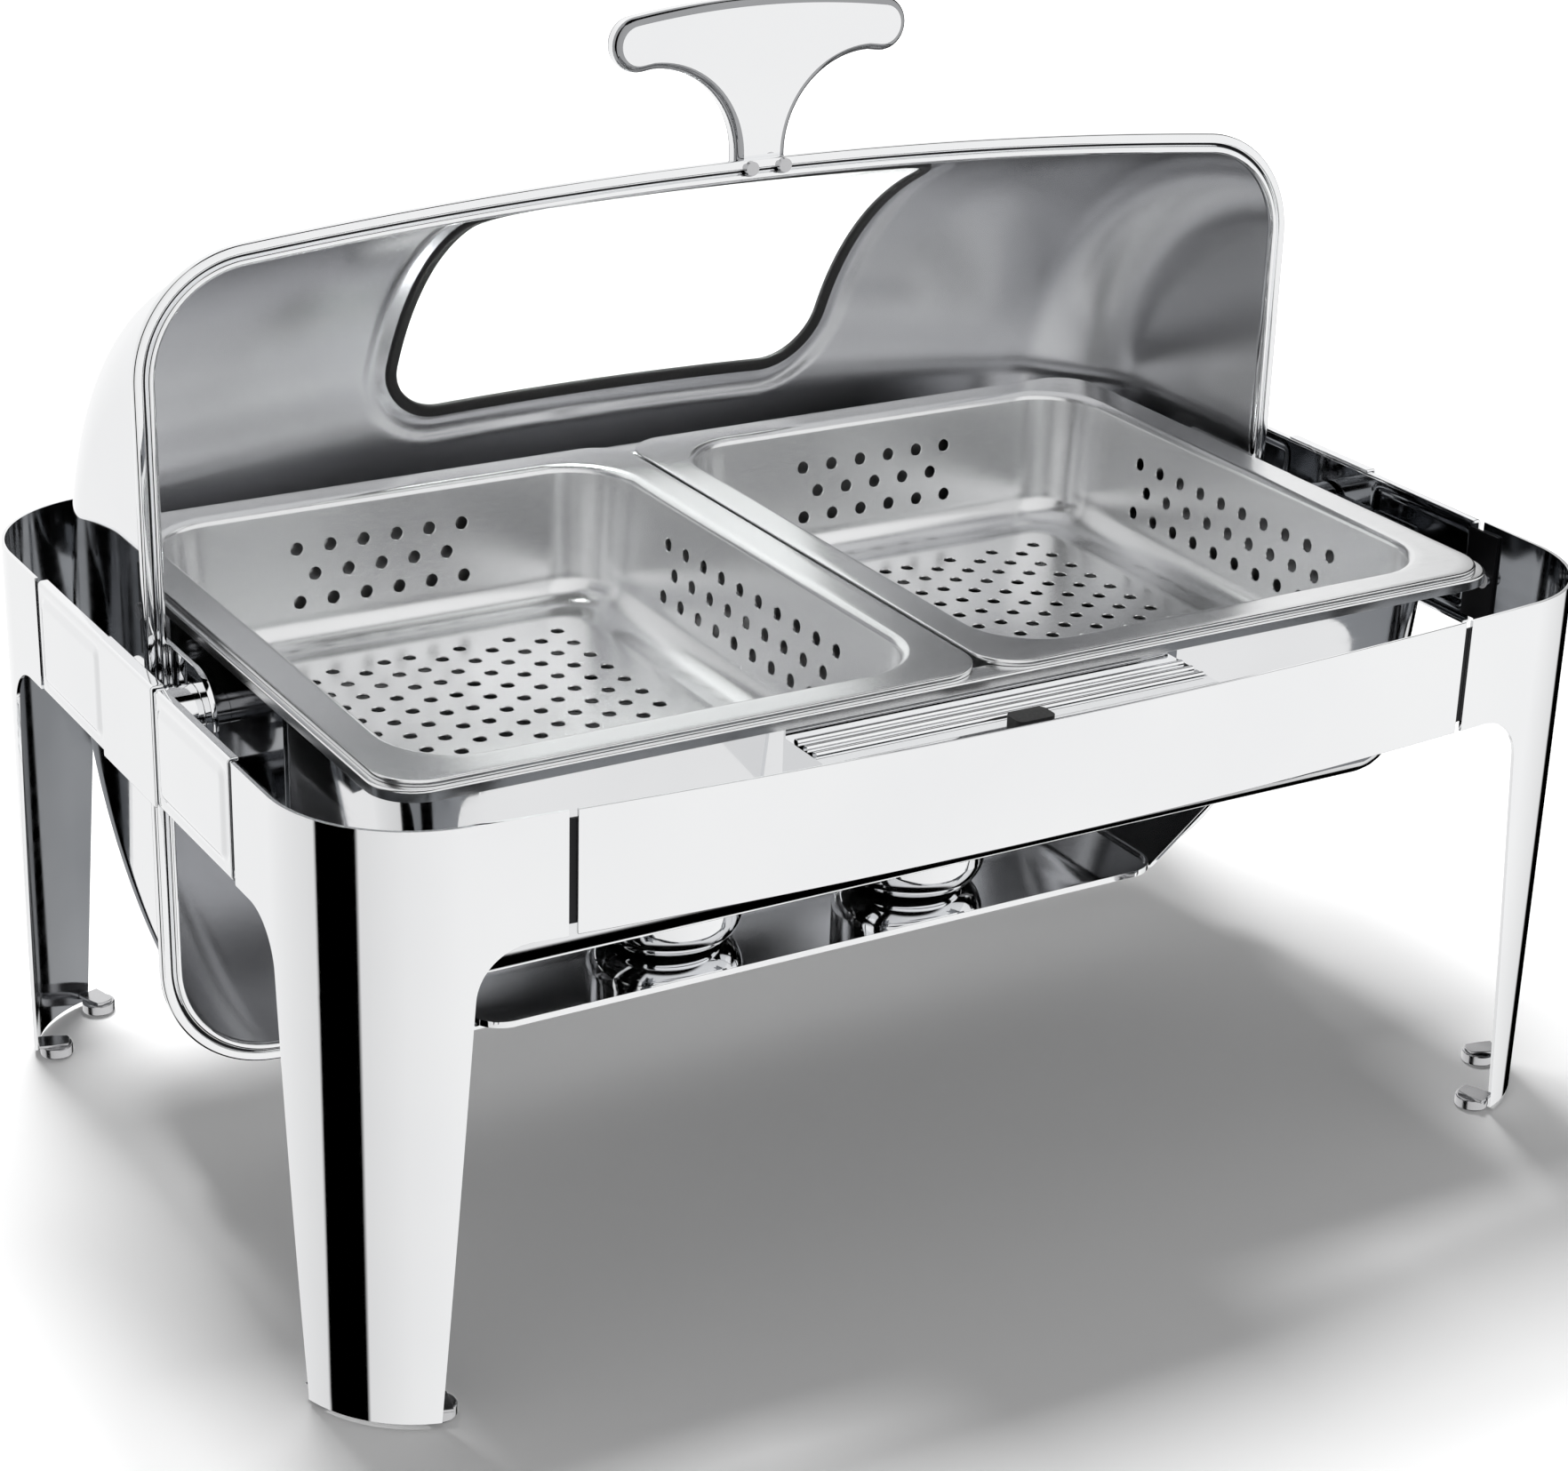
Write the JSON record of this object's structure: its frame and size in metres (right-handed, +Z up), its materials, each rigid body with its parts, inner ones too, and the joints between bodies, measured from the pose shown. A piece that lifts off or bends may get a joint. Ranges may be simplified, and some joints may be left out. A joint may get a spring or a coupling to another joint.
{
  "type": "roll top chafer",
  "caption": "Oblong stainless food warmer with a glazed barrel lid that rolls back, perforated food pans over a water pan, and fuel burners on a shelf.",
  "frame": {"origin": "centre of the footprint on the table", "axes": "+X along the length, +Y to the back where the lid rolls, +Z up"},
  "size_m": [0.6084, 0.424, 0.483],
  "materials": {
    "mirror_steel": "mirror-polished stainless sheet",
    "satin_steel": "satin stainless sheet",
    "glass": "clear",
    "rubber": "matt black",
    "knob_plastic": "satin black"
  },
  "bodies": {
    "stand": {"leg_front_left": "mirror_steel", "leg_front_right": "mirror_steel", "leg_back_left": "mirror_steel", "leg_back_right": "mirror_steel", "feet_front_left": "mirror_steel", "feet_front_right": "mirror_steel", "feet_back_left": "mirror_steel", "feet_back_right": "mirror_steel", "front_rail": "mirror_steel", "back_rail": "mirror_steel", "left_rail": "mirror_steel", "right_rail": "mirror_steel", "left_pivot_cover": "mirror_steel", "right_pivot_cover": "mirror_steel", "frame_screws": "mirror_steel", "left_pivot_bracket": "mirror_steel", "right_pivot_bracket": "mirror_steel", "left_pivot_pin": "mirror_steel", "right_pivot_pin": "mirror_steel", "lid_rest": "mirror_steel", "lid_bumper": "rubber", "rest_screws": "mirror_steel", "fuel_shelf": "mirror_steel", "left_shelf_hanger": "mirror_steel", "right_shelf_hanger": "mirror_steel", "water_pan": "satin_steel", "left_fuel_cup": "mirror_steel", "right_fuel_cup": "mirror_steel", "left_cover_pin": "mirror_steel", "right_cover_pin": "mirror_steel"},
    "lid": {"lid_shell": "mirror_steel", "left_lid_end": "mirror_steel", "right_lid_end": "mirror_steel", "lid_rim": "mirror_steel", "window_glass": "glass", "window_gasket": "rubber", "left_lid_hub": "mirror_steel", "right_lid_hub": "mirror_steel", "hub_rivets": "mirror_steel", "lid_handle": "mirror_steel", "handle_screws": "mirror_steel"},
    "food_pan_left": {"food_pan_left": "satin_steel"},
    "food_pan_right": {"food_pan_right": "satin_steel"},
    "left_fuel_cover": {"left_fuel_cover": "mirror_steel", "left_cover_knob": "knob_plastic"},
    "right_fuel_cover": {"right_fuel_cover": "mirror_steel", "right_cover_knob": "knob_plastic"}
  },
  "joints": [
    {"name": "lid_roll", "type": "hinge", "parent": "stand", "child": "lid", "pos_m": [0, 0, 0.224], "axis": [1, 0, 0], "range_deg": [0, 90]},
    {"name": "food_pan_left_lift", "type": "slide", "parent": "stand", "child": "food_pan_left", "axis": [0, 0, 1], "range_m": [0, 0.022]},
    {"name": "food_pan_right_lift", "type": "slide", "parent": "stand", "child": "food_pan_right", "axis": [0, 0, 1], "range_m": [0, 0.022]},
    {"name": "left_cover_swing", "type": "hinge", "parent": "stand", "child": "left_fuel_cover", "pos_m": [-0.092, -0.008, 0.1375], "axis": [0, 0, -1], "range_deg": [0, 110]},
    {"name": "right_cover_swing", "type": "hinge", "parent": "stand", "child": "right_fuel_cover", "pos_m": [0.092, -0.008, 0.1375], "axis": [0, 0, 1], "range_deg": [0, 110]}
  ]
}
